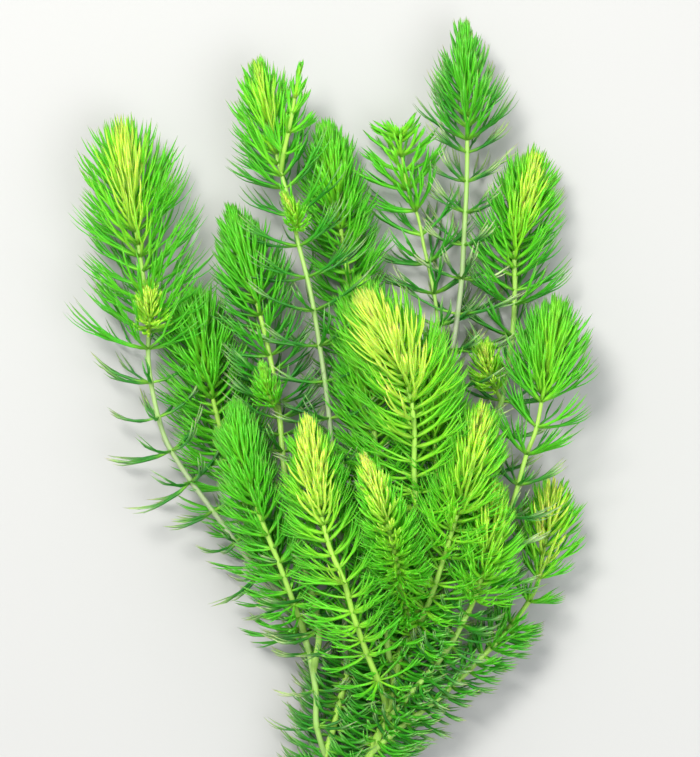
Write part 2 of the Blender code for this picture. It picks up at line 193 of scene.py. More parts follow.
@dataclass(frozen=True)
class LeafFinish:
    """Living leaves: yellow when they open, then bright green, then deep green with pale ends.

    The mottle and the finer grain change along a leaf, from tone to tone and with age, as fast as
    spread says. A leaf looks older or younger by the mottle, its tone and the way along it. A pair
    of limits is where a change starts and where it is whole. Old leaves are pale towards the end,
    and the ends of some of them have withered.
    """

    name: str
    gloss: float
    glow: float
    spread: tuple[float, float, float] = (5.0, 31.0, 23.0)
    mottle: float = 2.6
    mottle_age: float = 0.14
    mottle_gloss: float = 0.3
    mottle_bright: float = 0.3
    grain: float = 9.0
    grain_depth: float = 0.08 * MM
    grain_strength: float = 0.35
    tone_age: float = 0.10
    tone_bright: float = 0.38
    tone_hue: float = -0.010
    darkest: float = 0.88
    hue: float = 0.503
    half_grown_from: tuple[float, float] = (-0.02, 0.12)
    half_grown_to: tuple[float, float] = (0.25, 0.60)
    half_grown_end_age: float = 0.28
    end_age: float = 0.10
    foot_reach: float = 0.30
    foot_share: float = 0.70
    pale_from: tuple[float, float] = (0.78, 1.25)
    pale_for_age: float = 0.30
    pale_share: tuple[float, float] = (0.75, 0.04)
    withered_along: tuple[float, float] = (0.86, 1.0)
    withered_tone: tuple[float, float] = (0.60, 0.75)
    withered_age: tuple[float, float] = (0.35, 0.7)
    withered_share: float = 0.8
    ages: tuple[tuple[float, Colour], ...] = (
        (0.00, (0.52, 0.79, 0.085)),
        (0.14, (0.40, 0.73, 0.055)),
        (0.30, (0.26, 0.69, 0.030)),
        (0.50, (0.120, 0.55, 0.020)),
        (0.76, (0.052, 0.36, 0.016)),
        (1.00, (0.034, 0.20, 0.024)),
    )
    foot: Colour = (0.30, 0.60, 0.06)
    end: Colour = (0.34, 0.46, 0.21)
    withered: Colour = (0.36, 0.25, 0.12)

    def material(self) -> bpy.types.Material:
        """The material, coloured by age, painted light and shade included, and the way along a
        leaf.
        """
        graph = Graph(self.name)
        age, along, tone = (graph.attribute(name) for name in ("age", "along", "tone"))
        spread = enumerate(zip((along, tone, age), self.spread))
        inputs = {axis: value * rate for axis, (value, rate) in spread}
        place = graph.node("ShaderNodeCombineXYZ", inputs).outputs[0]
        mottle = graph.noise(place, self.mottle, 3.0)
        half_grown = age.between(*self.half_grown_from) * (1.0 - age.between(*self.half_grown_to))
        to_end = along * (half_grown * self.half_grown_end_age + self.end_age)
        grown = age + (mottle - 0.5) * self.mottle_age + (tone - 0.5) * self.tone_age + to_end
        colour = graph.node("ShaderNodeValToRGB", {0: grown}, stops=self.ages).outputs[0]
        # The feet are paler: partly the leaves' own colour there, partly painted light that lifts
        # the shade where the leaves crowd round the joints.
        at_foot = (1.0 - along.between(0.0, self.foot_reach)) * self.foot_share
        colour = graph.mix(at_foot, colour, (*self.foot, 1.0))
        pale = (along + age * self.pale_for_age).between(*self.pale_from)
        pale = pale * (age * age * self.pale_share[0] + self.pale_share[1])
        colour = graph.mix(pale, colour, (*self.end, 1.0))
        brown = along.between(*self.withered_along) * tone.between(*self.withered_tone)
        brown = brown * age.between(*self.withered_age) * self.withered_share
        colour = graph.mix(brown, colour, (*self.withered, 1.0))
        bright = tone * self.tone_bright + self.darkest + (mottle - 0.5) * self.mottle_bright
        hue = (tone - 0.5) * self.tone_hue + self.hue
        toned = {"Hue": hue, "Saturation": 1.0, "Value": bright, "Color": colour}
        colour = graph.node("ShaderNodeHueSaturation", toned).outputs[0]
        graph.feed(graph.shader.inputs["Base Color"], colour)
        rough = (mottle - 0.5) * self.mottle_gloss + self.gloss
        graph.feed(graph.shader.inputs["Roughness"], rough)
        graph.bump(graph.noise(place, self.grain), self.grain_strength, self.grain_depth)
        graph.glow(self.glow)
        return graph.material


@dataclass(frozen=True)
class StalkFinish:
    """A smooth water plant's stalk, yellow green when young and paler where it is old and bare."""

    name: str
    young: Colour = (0.38, 0.66, 0.08)
    middle: Colour = (0.33, 0.56, 0.13)
    old: Colour = (0.33, 0.385, 0.25)
    joint: Colour = (0.22, 0.46, 0.06)
    cut: Colour = (0.62, 0.68, 0.40)
    gloss: float = 0.40
    glow: float = 0.12
    mottle: float = 420.0
    mottle_age: float = 0.35
    mottle_gloss: float = 0.25
    mottle_joint: float = 0.5
    joint_share: float = 0.30
    ribs: float = 1500.0
    rib_depth: float = 0.1 * MM
    rib_strength: float = 0.4

    def material(self) -> bpy.types.Material:
        """The material, with darker joints where the whorls grow and fine ribs along it."""
        graph = Graph(self.name)
        age, joint, cut = (graph.attribute(name) for name in ("age", "joint", "cut"))
        place = graph.node("ShaderNodeTexCoord", {}).outputs["Object"]
        mottle = graph.noise(place, self.mottle, 3.0)
        stops = ((0.0, self.young), (0.45, self.middle), (1.0, self.old))
        aged = age + (mottle - 0.5) * self.mottle_age
        colour = graph.node("ShaderNodeValToRGB", {0: aged}, stops=stops).outputs[0]
        at_joint = joint * (mottle * self.mottle_joint + self.joint_share)
        colour = graph.mix(at_joint, colour, (*self.joint, 1.0))
        colour = graph.mix(cut, colour, (*self.cut, 1.0))
        graph.feed(graph.shader.inputs["Base Color"], colour)
        rough = (mottle - 0.5) * self.mottle_gloss + self.gloss
        graph.feed(graph.shader.inputs["Roughness"], rough)
        graph.bump(graph.noise(place, self.ribs), self.rib_strength, self.rib_depth)
        graph.glow(self.glow)
        return graph.material


class Finish(Enum):
    """The finishes of the plant, one for each of the record's material slots."""

    PALE_STEM = StalkFinish("stalk_rind")
    GREEN_LEAVES = LeafFinish("grown_leaf", 0.48, 0.55)
    GREEN_TIP = LeafFinish("green_crown_leaf", 0.45, 0.5)
    YELLOW_TIP = LeafFinish("yellow_crown_leaf", 0.43, 0.85)

    @property
    def slot(self) -> str:
        """The name of the record's material slot."""
        return self.name.lower()

    def material(self) -> bpy.types.Material:
        """The finish's material, made once."""
        return bpy.data.materials.get(self.value.name) or self.value.material()


# Leaves


@dataclass(frozen=True)
class Branch:
    """A stretch of a leaf, drawn out step by step, and what it forks into.

    Each step is a move in mm, sideways, outwards and along, and the share of its width that the
    end keeps, or 0 where it closes to a point. A fork parts the end across the axis named by cut.
    """

    steps: tuple[tuple[float, float, float, float], ...]
    forks: tuple["Branch", ...] = ()
    cut: int = 0


class LeafForm(Enum):
    """The forms that a leaf goes through as it grows, one tree of branches for each."""

    OPENING = Branch(((0, 0, 3.2, 1.1), (0, 0, 2.4, 0.95)), (
        Branch(((-0.40, 0.05, 2.6, 0.95), (-0.10, 0.10, 3.0, 0))),
        Branch(((0.35, -0.05, 2.3, 0.95), (0.10, 0.05, 2.5, 0)))))
    YOUNG = Branch(((0, 0, 3.5, 1.15), (0, 0, 2.8, 0.95)), (
        Branch(((-0.60, 0.10, 3.2, 1.1), (-0.35, 0.10, 3.2, 0.75), (-0.10, 0.15, 3.4, 0))),
        Branch(((0.60, 0, 2.6, 1.15),), (
            Branch(((0.35, -0.45, 3.0, 0.95), (0.10, -0.25, 3.4, 0))),
            Branch(((0.50, 0.40, 2.7, 0.95), (0.25, 0.10, 2.8, 0)))), 1)))
    GROWN = Branch(((0, 0, 4.0, 1.2), (0, 0, 3.8, 0.92)), (
        Branch(((-0.80, 0.10, 3.6, 1.15),), (
            Branch(((-0.60, -0.50, 3.2, 0.85), (-0.30, -0.20, 3.0, 0.75), (-0.10, 0, 3.2, 0))),
            Branch(((-0.45, 0.55, 3.6, 0.85), (-0.20, 0.30, 3.4, 0.75), (0, 0.20, 3.8, 0)))), 1),
        Branch(((0.80, -0.10, 3.0, 1.15),), (
            Branch(((0.70, -0.55, 3.2, 0.85), (0.30, -0.20, 2.8, 0.75), (0.10, 0, 3.0, 0))),
            Branch(((0.45, 0.50, 3.6, 0.85), (0.20, 0.30, 3.4, 0.75), (0, 0.10, 3.6, 0)))), 1)))
    OLD = Branch(((0, 0, 4.8, 1.15), (0, 0, 5.4, 0.95)), (
        Branch(((-0.50, 0.10, 3.6, 1.1), (-0.10, 0.20, 3.8, 0.8), (0.10, 0.20, 4.0, 0))),
        Branch(((0.45, -0.10, 3.0, 1.15),), (
            Branch(((0.35, -0.40, 3.2, 0.85), (0.05, -0.10, 3.6, 0))),
            Branch(((0.15, 0.45, 3.6, 0.85), (-0.05, 0.20, 3.4, 0.7), (-0.15, 0.10, 2.6, 0)))), 1)))

    @property
    def foot(self) -> float:
        """Half the width of the leaf at its foot, in mm."""
        return 0.34 if self is LeafForm.OPENING else 0.40

    @property
    def teeth(self) -> tuple[tuple[float, float], ...]:
        """The teeth along its margins: each one's height in mm and the side that it is on."""
        if self in (LeafForm.OPENING, LeafForm.YOUNG):
            return ()
        return ((9.5, -1.0), (13.0, 1.0), (15.5, -1.0))


@dataclass(frozen=True)
class LeafMesh:
    """A modelled leaf: the centre and the offset of each vertex, and its faces.

    Centres run from 0 at the foot to 1 at the end along z, and keep the same scale sideways.
    """

    centres: np.ndarray
    offsets: np.ndarray
    corners: np.ndarray
    sizes: np.ndarray


class LeafBench:
    """The edit mode in which a leaf is modelled, one unit to the millimetre.

    TOOTH is how high a tooth stands, LEVEL how uneven a level face may be, FORK_REACH how far
    from a fork its halves are found, and SIDEWAYS how far a margin's face is turned to its side.
    Blender's own order of vertices and faces changes from run to run, so a finished leaf's are
    put in order along SLANT, a direction in which no two of its vertices are level.
    """

    TOOTH = 0.28
    LEVEL = 1e-4
    FORK_REACH = 1.0
    SIDEWAYS = 0.5
    SLANT = (0.137, 0.0523, 1.0)

    def __init__(self, form: LeafForm) -> None:
        """Model a leaf of this form, foot first."""
        bpy.ops.object.select_all(action="DESELECT")
        bpy.ops.mesh.primitive_circle_add(vertices=4, radius=form.foot, fill_type="NGON")
        self.obj = bpy.context.object
        bpy.ops.object.mode_set(mode="EDIT")
        bpy.ops.mesh.select_mode(type="FACE")
        self._mesh().verts.layers.float_vector.new("centre")
        bpy.ops.mesh.select_all(action="SELECT")
        self._mark()
        self._draw_out(form.value)
        for height, side in form.teeth:
            self._tooth(height, side)
        bpy.ops.mesh.select_all(action="SELECT")
        bpy.ops.mesh.normals_make_consistent(inside=False)
        bpy.ops.object.mode_set(mode="OBJECT")

    def _mesh(self) -> bmesh.types.BMesh:
        """The mesh as it is now."""
        return bmesh.from_edit_mesh(self.obj.data)

    def _mark(self) -> Vector:
        """Tell the selected ring's vertices where its centre is, and return that."""
        mesh = self._mesh()
        layer = mesh.verts.layers.float_vector["centre"]
        ring = [vertex for vertex in mesh.verts if vertex.select]
        centre = sum((vertex.co for vertex in ring), Vector()) / len(ring)
        for vertex in ring:
            vertex[layer] = centre
        bmesh.update_edit_mesh(self.obj.data)
        return centre

    def _pick(self, place: Vector) -> None:
        """Select the one face whose middle is nearest to a place."""
        bpy.ops.mesh.select_all(action="DESELECT")
        mesh = self._mesh()
        face = min(mesh.faces, key=lambda each: (each.calc_center_median() - place).length)
        face.select_set(True)
        bmesh.update_edit_mesh(self.obj.data)

    def _draw_out(self, branch: Branch) -> None:
        """Draw the selected end out along a branch, then along what it forks into."""
        for sideways, outwards, along, width in branch.steps:
            move = {"value": (sideways, outwards, along)}
            bpy.ops.mesh.extrude_region_move(TRANSFORM_OT_translate=move)
            centre = self._mark()
            if width:
                bpy.ops.transform.resize(value=(width, width, 1), center_override=centre)
            else:
                bpy.ops.mesh.merge(type="CENTER")
        if not branch.forks:
            return
        ends = [face for face in self._mesh().faces if face.select]
        across = Vector((1.0, 0.0, 0.0)) if branch.cut == 0 else Vector((0.0, 1.0, 0.0))
        corners = [vertex.co.copy() for vertex in ends[0].verts]
        middle = centre + across * (self._middle(corners, branch.cut) - centre[branch.cut])
        bpy.ops.mesh.bisect(plane_co=middle, plane_no=across)
        halves = []
        for face in self._mesh().faces:
            flat = all(abs(vertex.co.z - middle.z) < self.LEVEL for vertex in face.verts)
            if flat and (face.calc_center_median() - middle).length < self.FORK_REACH:
                halves.append(face.calc_center_median().copy())
        halves.sort(key=lambda half: half[branch.cut])
        for fork, half in zip(branch.forks, halves):
            self._pick(half)
            self._draw_out(fork)

    @staticmethod
    def _middle(corners: Sequence[Vector], axis: int) -> float:
        """Half way between a ring's lowest and highest corner along an axis."""
        places = [corner[axis] for corner in corners]
        return (min(places) + max(places)) / 2

    def _tooth(self, height: float, side: float) -> None:
        """Raise a small tooth from the margin at a height, on the left (-1) or the right (1).

        Of two faces equally near to the height, the one lower in y has it in every run.
        """
        mesh = self._mesh()
        middles = [face.calc_center_median() for face in mesh.faces
                   if len(face.verts) == 4 and face.normal.x * side > self.SIDEWAYS]
        middles.sort(key=lambda each: (round(abs(each.z - height) / self.LEVEL), each.y))
        known = len(mesh.verts)
        self._pick(middles[0])
        bpy.ops.mesh.poke(offset=self.TOOTH, use_relative_offset=False)
        mesh = self._mesh()
        layer = mesh.verts.layers.float_vector["centre"]
        mesh.verts.ensure_lookup_table()
        for point in mesh.verts[known:]:
            around = [edge.other_vert(point)[layer] for edge in point.link_edges]
            point[layer] = sum(around, Vector()) / len(around)
        bmesh.update_edit_mesh(self.obj.data)

    def take(self) -> LeafMesh:
        """The finished leaf as arrays. Its object is removed."""
        mesh = self.obj.data
        count = len(mesh.vertices)
        places, centres = np.empty(count * 3), np.empty(count * 3)
        mesh.vertices.foreach_get("co", places)
        mesh.attributes["centre"].data.foreach_get("vector", centres)
        places, centres = places.reshape(-1, 3), centres.reshape(-1, 3)
        order = np.argsort(places @ self.SLANT)
        rank = np.argsort(order)
        faces = []
        for polygon in mesh.polygons:
            corners = rank[list(polygon.vertices)]
            faces.append(np.roll(corners, -corners.argmin()).tolist())
        faces.sort()
        bpy.data.meshes.remove(mesh)
        return LeafMesh(centres[order] / centres[:, 2].max(), (places - centres)[order],
                        np.concatenate(faces), np.array([len(face) for face in faces]))


# Routes and growth


class Route:
    """A smooth curve through a shoot's points, measured along its length."""

    SAMPLES = 10
    TANGENT_STEP = 0.5 * MM

    def __init__(self, points: Sequence[Point], shift: np.ndarray) -> None:
        """Pass a curve through these points, given in mm, moved by a shift in metres."""
        knots = np.array(points, float) * MM + shift
        knots = np.vstack([2 * knots[0] - knots[1], knots, 2 * knots[-1] - knots[-2]])
        shares = np.linspace(0, 1, self.SAMPLES, endpoint=False)[:, None]
        spans = [0.5 * (2 * b + (c - a) * shares + (2 * a - 5 * b + 4 * c - d) * shares**2
                        + (3 * b - a - 3 * c + d) * shares**3)
                 for a, b, c, d in zip(knots, knots[1:], knots[2:], knots[3:])]
        self.line = np.vstack(spans + [knots[-2:-1]])
        steps = np.linalg.norm(np.diff(self.line, axis=0), axis=1)
        self.marks = np.concatenate([[0.0], np.cumsum(steps)])
        self.length = float(self.marks[-1])

    def points(self, distances: np.ndarray) -> np.ndarray:
        """The places at some distances from the start."""
        return np.stack([np.interp(distances, self.marks, row) for row in self.line.T], axis=-1)

    def axes(self, distances: np.ndarray) -> np.ndarray:
        """The curve's direction at some distances from the start."""
        before, after = distances - self.TANGENT_STEP, distances + self.TANGENT_STEP
        return unit(self.points(after) - self.points(before))


def unit(vectors: np.ndarray) -> np.ndarray:
    """Vectors of length 1 with the same directions."""
    return vectors / np.maximum(np.linalg.norm(vectors, axis=-1, keepdims=True), 1e-9)


@dataclass(frozen=True)
class Growth:
    """How the whorls change with their distance from the growing tip, in mm and degrees."""

    from_tip: tuple[float, ...] = (0, 4, 8, 14, 20, 40, 80, 140)
    spacing: tuple[float, ...] = (4.2, 4.85, 5.5, 6.65, 7.8, 10.6, 12.4, 13.4)
    crowding: tuple[float, ...] = (1.4, 1.7, 2.2, 2.8, 3.4, 5.3, 9.0, 13.0)
    lean: tuple[float, ...] = (8, 14, 22, 30, 38, 52, 63, 76)
    lean_spread: tuple[float, ...] = (8, 9, 10, 10, 9, 8, 8, 9)
    curl: tuple[float, ...] = (7, 10, 13, 16, 18, 19, 22, 26)
    length: tuple[float, ...] = (0.42, 0.56, 0.72, 0.86, 0.94, 1.0, 1.0, 0.92)
    spire: tuple[float, ...] = (0.92, 0.68, 0.62, 0.64, 0.74, 0.90, 1.0, 1.0)
    leaves: tuple[float, ...] = (8, 10, 11, 11, 11, 10, 9, 9)
    stalk: tuple[float, ...] = (0.40, 0.46, 0.50, 0.56, 0.62, 0.76, 0.88, 1.0)
    maturity: tuple[float, ...] = (0.0, 0.0, 0.04, 0.12, 0.23, 0.52, 0.80, 1.0)
    first_whorl: float = 3.5
    last_whorls: tuple[float, ...] = (2.4, 1.4, 0.5)

    def read(self, law: tuple[float, ...], distance: np.ndarray | float) -> np.ndarray:
        """One of the laws, at a distance from the growing tip in metres."""
        return np.interp(np.asarray(distance) / MM, self.from_tip, law)

    def joints(self, length: float, past_tip: float) -> list[float]:
        """Where a route's main whorls grow, from its end down, as distances from its start."""
        found = []
        at = length - (0.0 if past_tip else self.first_whorl * MM)
        while at > 0:
            found.append(at)
            at -= float(self.read(self.spacing, length - at + past_tip)) * MM
        return found

    def whorls(self, length: float, past_tip: float, shoot: "Shoot") -> list[float]:
        """Where all of a route's whorls grow: the main ones, and more where they are crowded.

        Args:
            length: The route's length.
            past_tip: How far past the route's end its shoot's growing tip is.
            shoot: The shoot, which says where whorls are crowded and where they are sparse.

        Returns:
            Their distances from the route's start.
        """
        joints = self.joints(length, past_tip)
        found = [] if past_tip else [length - last * MM for last in self.last_whorls]
        for upper, lower in zip(joints, joints[1:] + [-1.0]):
            found.append(upper)
            from_tip = length - upper + past_tip
            crowding = float(self.read(self.crowding, from_tip)) * MM / shoot.fullness
            crowding = crowding / (shoot.thicket if upper <= shoot.bushy * MM else 1.0)
            parts = max(1, round((upper - lower) / crowding)) if lower >= 0 else 1
            is_sparse = from_tip > shoot.sparse * MM and upper > shoot.bushy * MM
            parts = 1 if is_sparse else parts
            found += [upper - (upper - lower) * part / parts for part in range(1, parts)]
        return found


@dataclass(frozen=True)
class Shoot:
    """A stretch of stem from a fork to the next fork or to its growing tip, with points in mm.

    Its leaves go from the age young at the tip to the age old at its oldest part, where 0 is
    yellow and 1 is deep green. Farther from the tip than sparse, leaves grow at the joints alone,
    but not within bushy of its start, where there are thicket times as many. Between the distances
    from the tip in bare there are only a few short ones, and farther than short from the tip all
    are short.
    Its crown's leaves stand open degrees further out than usual, and all are thick times as thick.
    Where spire is 1 the crown narrows to a point, and where it is 0 it is broad. Core is painted
    shade: how much older, and so darker green, the leaves at the crown's sides and back look than
    those on top, which face the light. A share of its leaves is missing, and so is a share,
    parting, of those that would hide the stalk below the crown.
    Rind is how bleached its stalk is at its oldest part.
    """

    name: str
    crown: Finish = Finish.GREEN_TIP
    points: tuple[Point, ...] = ()
    leaf: float = 20.0
    tip: float = 0.0
    past_tip: float = 0.0
    radius: float = 1.15
    young: float = 0.25
    old: float = 0.85
    fullness: float = 1.0
    sparse: float = 70.0
    bushy: float = 0.0
    thicket: float = 1.0
    short: float = 500.0
    bare: tuple[float, float] = (0.0, 0.0)
    open: float = 0.0
    spire: float = 0.0
    core: float = 0.0
    thick: float = 1.0
    missing: float = 0.07
    parting: float = 0.75
    rind: float = 0.35
    start: float = 4.0

    @property
    def is_bud(self) -> bool:
        """Whether the whole shoot is one node."""
        return self.name.endswith("bud")


YELLOW = Finish.YELLOW_TIP
SHOOTS = (
    Shoot("main_stem", leaf=23, past_tip=130, radius=1.5, old=0.57, fullness=5.0, sparse=400,
          rind=0.1, points=(
        (0, 0, 14), (3, 12, 14), (12, 31, 15), (18, 46, 17), (22, 65, 20), (27, 79, 23),
        (29, 86, 26))),
    Shoot("centre_shoot", YELLOW, leaf=26, tip=36, young=-0.27, old=0.22, fullness=1.3, sparse=110,
          core=0.24, points=(
        (29, 86, 26), (29, 100, 32), (28, 116, 39), (27, 132, 44), (27, 146, 48), (25, 160, 51),
        (20, 173, 52), (14, 184, 52))),
    Shoot("tallest_shoot", leaf=28, tip=30, radius=1.05, young=0.46, old=1.1, fullness=1.0,
          sparse=30, bushy=60, bare=(33, 84), spire=1.0, rind=1.2, points=(
        (27.5, 81, 24), (33, 93, 21), (35, 108, 20), (37, 124, 18), (39, 145, 17), (40, 166, 17),
        (42, 180, 17), (44, 196, 17), (45, 212, 17), (46, 233, 17), (46, 254, 18), (45, 280, 18))),
    Shoot("thin_shoot", leaf=23, tip=16, radius=0.8, young=0.1, old=1.2, fullness=0.35, sparse=14,
          open=46, thick=1.15, missing=0.32, rind=0.8, points=(
        (39, 152, 17), (37, 173, 12), (35, 191, 12), (33, 201, 12), (31, 210, 12), (29, 220, 12),
        (25, 231, 13), (22, 250, 15))),
    Shoot("centre_right_shoot", YELLOW, leaf=21, tip=20, young=0.06, old=0.22, fullness=1.2,
          points=(
        (36, 110, 20), (36, 119, 30), (35, 131, 36), (34, 145, 37), (34, 160, 36), (34, 172, 35))),
    Shoot("mid_right_shoot", YELLOW, leaf=21, tip=22, young=0.0, old=0.22, fullness=1.3, points=(
        (22.5, 66, 20), (31, 82, 31), (37, 100, 40), (41, 114, 45), (45, 128, 47), (49, 147, 47))),
    Shoot("front_shoot", YELLOW, leaf=16, tip=18, young=-0.16, old=0.24, fullness=1.3, spire=0.3,
          core=0.2, points=(
        (26, 76.5, 22), (23, 89, 36), (21, 100, 49), (18, 112, 58), (15, 122, 62), (11, 133, 63))),
    Shoot("back_centre_shoot", leaf=22, tip=26, young=0.06, old=0.36, fullness=1.8, sparse=300,
          points=(
        (20, 59, 19), (18, 71, 25), (19, 89, 27), (17, 107, 29), (15, 128, 30), (13, 149, 31),
        (12, 170, 31), (10, 190, 31))),
    Shoot("upper_right_shoot", YELLOW, leaf=23, tip=26, young=-0.04, old=1.0, fullness=1.2,
          sparse=40, bushy=60, open=5, spire=0.2, core=0.2, rind=0.7, points=(
        (19.5, 54, 18), (29, 73, 15), (39, 91, 13), (47, 107, 12), (52, 124, 12), (56, 142, 12),
        (59, 159, 13), (62, 177, 14), (63, 194, 15), (63, 208, 16), (66, 223, 17), (69, 236, 17))),
    Shoot("right_shoot", leaf=24, tip=26, radius=1.0, young=0.1, old=0.8, fullness=1.3, sparse=28,
          bushy=62, thicket=2.0, short=100, bare=(52, 92), spire=0.2, core=0.1, parting=0.2,
          points=(
        (17, 42, 16.5), (27, 54, 24), (39, 69, 29), (48, 86, 31), (54, 100, 32), (58, 112, 33),
        (62, 122, 33), (66, 136, 33), (70, 147, 32), (73, 165, 31), (76, 183, 29))),
    Shoot("inner_right_shoot", YELLOW, leaf=18, tip=17, young=0.0, old=0.3, fullness=1.3, points=(
        (46, 81, 30), (50, 93, 39), (52, 104, 43), (54, 122, 45))),
    Shoot("lower_right_shoot", YELLOW, leaf=21, tip=21, young=-0.14, old=0.9, fullness=0.9,
          sparse=25, bushy=72, thicket=2.2, short=25, open=14, spire=0.2, core=0.2, parting=0.2,
          points=(
        (12, 31, 15), (22, 40, 18), (36, 51, 19), (50, 64, 18), (62, 77, 17), (70, 89, 17),
        (73, 102, 17), (76, 121, 18))),
    Shoot("lower_centre_shoot", YELLOW, leaf=19, tip=27, young=-0.2, old=0.24, fullness=1.2,
          spire=0.2, core=0.24, rind=0.1, points=(
        (18, 47, 17), (15, 57, 28), (10, 70, 37), (6, 82, 43), (3, 93, 47), (-2, 105, 49),
        (-5, 117, 50), (-7, 129, 50), (-9, 144, 50))),
    Shoot("left_fork", leaf=21, past_tip=130, old=0.7, fullness=4.5, sparse=400, rind=0.1, points=(
        (1, 6, 14), (-3, 16, 13), (-4, 28, 13), (-1, 40, 13), (2, 52, 13), (5, 63, 13))),
    Shoot("top_centre_shoot", leaf=21, tip=32, young=0.16, old=0.62, fullness=1.4, sparse=90,
          bushy=60, spire=0.3, points=(
        (5, 63, 13), (7, 72, 13), (10, 89, 12), (11, 110, 12), (10, 131, 12), (9, 152, 12),
        (7, 173, 12), (5, 194, 12), (2, 214, 13), (-1, 233, 14), (-3, 247, 16))),
    Shoot("top_left_shoot", YELLOW, leaf=26, tip=28, radius=0.95, young=0.02, old=1.0,
          fullness=0.85, sparse=30, bushy=40, spire=0.45, core=0.24, rind=0.9, points=(
        (4, 59, 13), (3, 72, 20), (3, 90, 26), (1, 114, 29), (-1, 135, 30), (-3, 156, 30),
        (-6, 177, 29), (-9, 194, 28), (-13, 210, 26), (-16, 224, 24), (-21, 242, 21),
        (-26, 266, 19))),
    Shoot("outer_left_fork", leaf=20, past_tip=130, radius=1.05, old=0.95, fullness=2.0,
          sparse=400, bare=(138, 165), rind=0.5, points=(
        (-4, 30, 13), (-7, 42, 17), (-7, 52, 19), (-9, 65, 20), (-11, 74, 21), (-12, 80, 21))),
    Shoot("far_left_shoot", YELLOW, leaf=31, tip=34, radius=0.95, spire=0.35, young=-0.06,
          old=0.62, fullness=1.15, sparse=62, bare=(70, 300), core=0.32, parting=0.1, rind=0.9,
          points=(
        (-12, 80, 21), (-17, 86, 21), (-30, 99, 20), (-42, 115, 19), (-53, 130, 18),
        (-60, 142, 18), (-64, 156, 18), (-66, 170, 18), (-66, 184, 18), (-68, 201, 18),
        (-71, 219, 18), (-74, 243, 18))),
    Shoot("left_shoot", leaf=24, tip=26, young=0.26, old=0.5, fullness=1.4, points=(
        (-10, 69, 20.5), (-15, 83, 13), (-22, 97, 10), (-28, 110, 9), (-35, 126, 9),
        (-40, 142, 10), (-44, 158, 11), (-47, 173, 12), (-50, 187, 13))),
    Shoot("inner_left_shoot", leaf=23, tip=30, young=0.28, old=1.0, fullness=1.1, bushy=50,
          spire=0.5, points=(
        (-8, 60, 19.5), (-6, 76, 26), (-11, 98, 29), (-15, 114, 28), (-18, 131, 26),
        (-20, 152, 23), (-23, 170, 21), (-27, 187, 19), (-31, 203, 17), (-35, 217, 16))),
    Shoot("mid_left_shoot", leaf=17, tip=20, young=0.26, old=0.55, fullness=1.2, points=(
        (-11, 74, 21), (-15, 86, 32), (-20, 100, 37), (-26, 115, 39), (-30, 128, 40),
        (-33, 140, 40), (-34, 150, 40))),
    Shoot("small_left_shoot", leaf=15, tip=14, young=0.28, old=0.6, points=(
        (-19, 91, 11), (-22, 101, 18), (-25, 109, 21), (-27, 118, 22))),
    Shoot("far_left_bud", YELLOW, leaf=15, tip=12, young=-0.1, old=0.1, open=14, thick=0.9, points=(
        (-66, 178, 18), (-65, 184, 26), (-65, 192, 31))),
    Shoot("top_left_bud", YELLOW, leaf=11, tip=9, young=-0.04, old=0.6, thick=0.75, points=(
        (-14, 214, 26), (-14, 219, 33), (-17, 225, 37))),
    Shoot("top_left_twin_bud", YELLOW, leaf=14, tip=28, young=0.16, old=0.5, fullness=0.5, open=-8,
          spire=0.3, missing=0.45, points=(
        (-19.3, 236, 22), (-18, 243, 28), (-15.5, 254, 31), (-13, 269, 30))),
    Shoot("upper_right_bud", YELLOW, leaf=14, tip=12, young=-0.06, old=0.35, open=12, thick=0.8,
          points=(
        (58, 156, 13), (54, 164, 20), (52, 173, 25))),
    Shoot("mid_left_bud", YELLOW, leaf=13, tip=10, young=0.1, old=0.6, thick=0.75, points=(
        (-20, 150, 23), (-23, 157, 31), (-25, 165, 35))),
)


def dress(piece: bpy.types.Object, finish: Finish, nodes: Sequence[str]) -> bpy.types.Object:
    """Give a piece its material, and have it ride on the plant in place of its solids.

    Args:
        piece: The finished piece.
        finish: Its finish, which also names its material slot.
        nodes: The solids that it stands for.

    Returns:
        The piece.
    """
    piece.data.materials.clear()
    piece.data.materials.append(finish.material())
    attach(piece, "root")
    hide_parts(*nodes)
    LOG.info("%s: %d faces", piece.name, len(piece.data.polygons))
    return piece


def keep(mesh: bpy.types.Mesh, name: str, numbers: np.ndarray) -> None:
    """Hold a number at each vertex of a mesh, for its material to read."""
    layer = mesh.attributes.new(name, "FLOAT", "POINT")
    layer.data.foreach_set("value", np.ascontiguousarray(numbers, np.float32))


